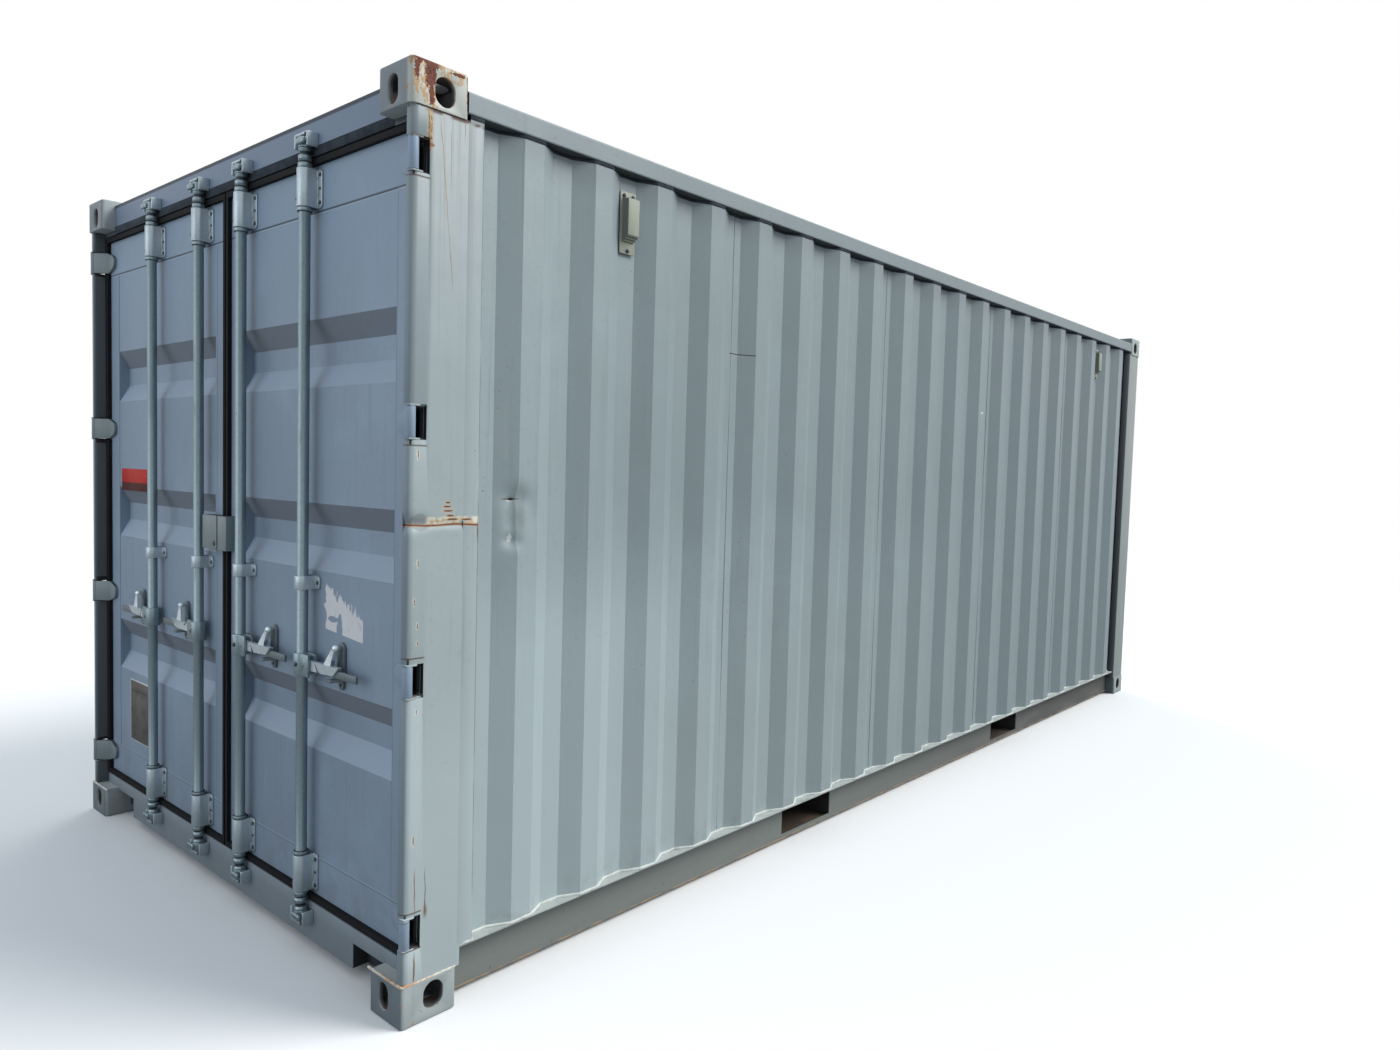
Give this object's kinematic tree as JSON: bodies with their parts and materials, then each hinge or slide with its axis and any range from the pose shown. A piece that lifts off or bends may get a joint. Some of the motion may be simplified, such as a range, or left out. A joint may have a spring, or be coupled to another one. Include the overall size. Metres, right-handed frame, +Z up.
{
  "type": "shipping container",
  "caption": "Corrugated steel freight container with corner castings, two hinged end doors, lock rods with handles, fork pockets and a plywood floor.",
  "frame": {"origin": "centre of the underside, level with the feet of the bottom corner castings", "axes": "+Z up, +Y along the length towards the blind end (the doors face -Y), +X to the right when the doors are faced"},
  "size_m": [2.438, 6.058, 2.591],
  "materials": {
    "frame_paint": "semi-gloss paint, chipped and rusted",
    "side_paint": "semi-gloss paint, dusty",
    "door_paint": "semi-gloss paint, scuffed",
    "galvanised": "galvanised, dull",
    "casting_paint": "paint over cast steel, rusted",
    "gasket_rubber": "matt",
    "floor_wood": "plywood, worn",
    "vent_plastic": "matt, dusty"
  },
  "bodies": {
    "frame": {"castings_top": "casting_paint", "castings_bottom": "casting_paint", "door_end_post_right": "frame_paint", "door_end_post_left": "frame_paint", "blind_end_post_right": "side_paint", "blind_end_post_left": "side_paint", "door_header": "frame_paint", "door_sill": "frame_paint", "blind_header": "side_paint", "blind_sill": "side_paint", "side_wall_right": "side_paint", "side_wall_left": "side_paint", "blind_end_wall": "side_paint", "roof": "side_paint", "top_side_rail_right": "side_paint", "top_side_rail_left": "side_paint", "bottom_side_rail_right": "side_paint", "bottom_side_rail_left": "side_paint", "cross_members": "side_paint", "fork_pockets": "side_paint", "floor": "floor_wood", "hinge_lugs": "frame_paint", "cam_keepers": "galvanised", "vents": "vent_plastic"},
    "door_right": {"door_right": "door_paint", "door_gasket_right": "gasket_rubber", "hinge_blades_right": "door_paint", "rod_brackets_right": "galvanised", "handle_retainers_right": "galvanised", "lock_box_right": "door_paint"},
    "door_left": {"door_left": "door_paint", "door_gasket_left": "gasket_rubber", "hinge_blades_left": "door_paint", "rod_brackets_left": "galvanised", "handle_retainers_left": "galvanised", "lock_box_left": "door_paint"},
    "rod_1": {"rod_1": "galvanised"},
    "handle_1": {"handle_1": "galvanised"},
    "rod_2": {"rod_2": "galvanised"},
    "handle_2": {"handle_2": "galvanised"},
    "rod_3": {"rod_3": "galvanised"},
    "handle_3": {"handle_3": "galvanised"},
    "rod_4": {"rod_4": "galvanised"},
    "handle_4": {"handle_4": "galvanised"}
  },
  "joints": [
    {"name": "door_right_hinge", "type": "hinge", "parent": "frame", "child": "door_right", "pos_m": [1.204, -3.012, 0], "axis": [0, 0, 1], "range_deg": [0, 266]},
    {"name": "door_left_hinge", "type": "hinge", "parent": "frame", "child": "door_left", "pos_m": [-1.204, -3.012, 0], "axis": [0, 0, -1], "range_deg": [0, 266]},
    {"name": "rod_1_turn", "type": "hinge", "parent": "door_left", "child": "rod_1", "pos_m": [-0.603, -3.001, 0], "axis": [0, 0, -1], "range_deg": [-100, 0]},
    {"name": "handle_1_lift", "type": "hinge", "parent": "rod_1", "child": "handle_1", "pos_m": [-0.637, -3.001, 0.915], "axis": [0, 1, 0], "range_deg": [0, 25]},
    {"name": "rod_2_turn", "type": "hinge", "parent": "door_left", "child": "rod_2", "pos_m": [-0.17, -3.001, 0], "axis": [0, 0, -1], "range_deg": [-100, 0]},
    {"name": "handle_2_lift", "type": "hinge", "parent": "rod_2", "child": "handle_2", "pos_m": [-0.204, -3.001, 0.915], "axis": [0, 1, 0], "range_deg": [0, 25]},
    {"name": "rod_3_turn", "type": "hinge", "parent": "door_right", "child": "rod_3", "pos_m": [0.17, -3.001, 0], "axis": [0, 0, 1], "range_deg": [-100, 0]},
    {"name": "handle_3_lift", "type": "hinge", "parent": "rod_3", "child": "handle_3", "pos_m": [0.204, -3.001, 0.915], "axis": [0, -1, 0], "range_deg": [0, 25]},
    {"name": "rod_4_turn", "type": "hinge", "parent": "door_right", "child": "rod_4", "pos_m": [0.603, -3.001, 0], "axis": [0, 0, 1], "range_deg": [-100, 0]},
    {"name": "handle_4_lift", "type": "hinge", "parent": "rod_4", "child": "handle_4", "pos_m": [0.637, -3.001, 0.915], "axis": [0, -1, 0], "range_deg": [0, 25]}
  ]
}
